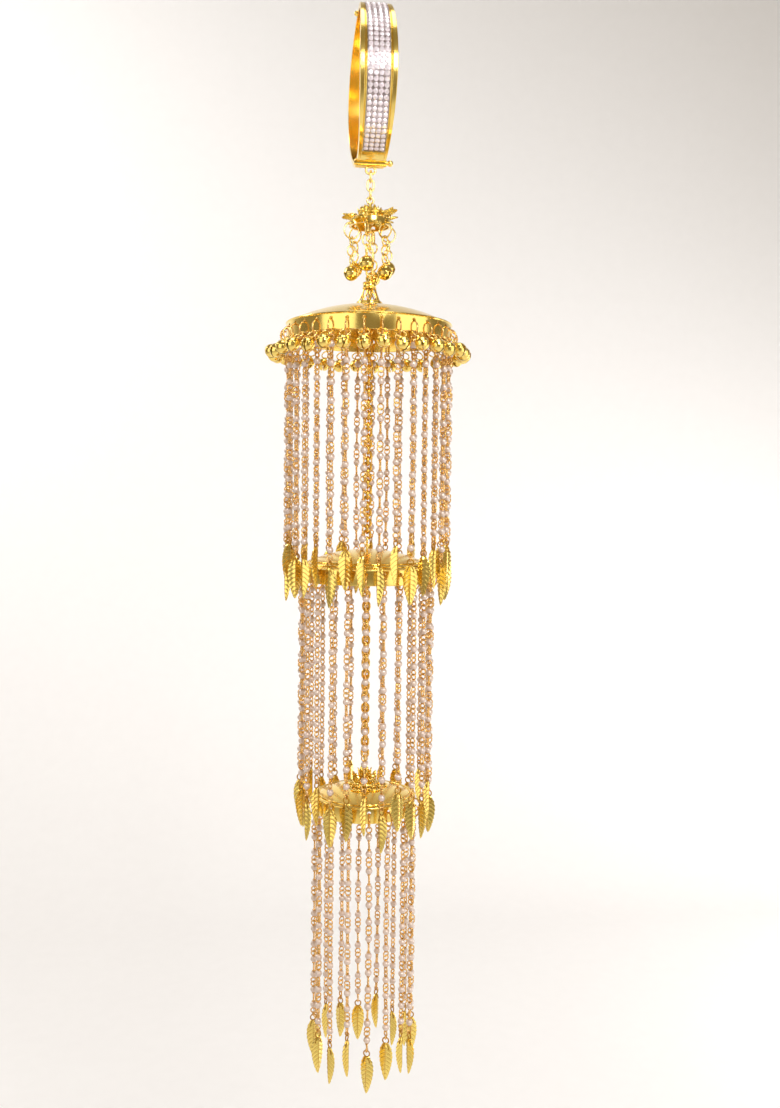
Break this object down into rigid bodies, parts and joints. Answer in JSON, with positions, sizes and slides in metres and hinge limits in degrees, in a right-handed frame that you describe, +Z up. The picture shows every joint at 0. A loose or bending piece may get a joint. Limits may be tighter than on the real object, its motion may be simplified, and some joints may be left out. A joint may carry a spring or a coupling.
{
  "type": "kalire bridal ornament",
  "caption": "Hanging bridal ornament: an openable stone-set bangle carries a chain, a bell cluster and stacked domes fringed with pearl strings and leaf charms.",
  "frame": {"origin": "inside top of the bangle, where it sits on the rod or peg that it hangs from", "axes": "+Z up, X along the bangle's axis, -Y towards the front that the picture shows"},
  "size_m": [0.0857, 0.0858, 0.4449],
  "materials": {
    "polished_gold": "polished yellow gold plating",
    "gold_wire": "bright gold wire",
    "leaf_gold": "bright stamped gold",
    "pearl": "cream pearl lustre",
    "clear_stone": "cut clear stones in gold settings"
  },
  "bodies": {
    "bangle": {"bangle_front": "polished_gold", "front_stones": "clear_stone", "hinge_pin": "gold_wire"},
    "bangle_rear": {"bangle_back": "polished_gold", "back_stones": "clear_stone"},
    "drop": {"petal_cap": "polished_gold", "filigree_cap": "polished_gold", "flower_cap": "polished_gold", "dome_1": "polished_gold", "dome_2": "polished_gold", "dome_3": "polished_gold", "rim_bells": "polished_gold", "top_bell_1": "polished_gold", "top_bell_2": "polished_gold", "top_bell_3": "polished_gold", "top_bell_4": "polished_gold", "top_bell_5": "polished_gold", "top_bell_6": "polished_gold", "upper_pin": "gold_wire", "bell_rings": "gold_wire", "dome_pin_1": "gold_wire", "dome_pin_2": "gold_wire", "dome_pin_3": "gold_wire", "centre_chain_1": "gold_wire", "centre_chain_2": "gold_wire", "upper_link_1": "gold_wire", "upper_link_2": "gold_wire", "upper_link_3": "gold_wire", "middle_link_1": "gold_wire", "middle_link_2": "gold_wire", "middle_link_3": "gold_wire", "middle_link_4": "gold_wire", "middle_link_5": "gold_wire", "middle_link_6": "gold_wire", "leaves_1": "leaf_gold", "leaves_2": "leaf_gold", "leaves_3": "leaf_gold", "strings_1": "pearl", "strings_2": "pearl", "strings_3": "pearl"}
  },
  "joints": [
    {"name": "bangle_hinge", "type": "hinge", "parent": "bangle", "child": "bangle_rear", "pos_m": [0, 0, -0.0585], "axis": [-1, 0, 0], "range_deg": [0, 45]},
    {"name": "drop_swing", "type": "hinge", "parent": "bangle", "child": "drop", "pos_m": [0, 0, -0.06295], "axis": [1, 0, 0], "range_deg": [-20, 20]}
  ]
}
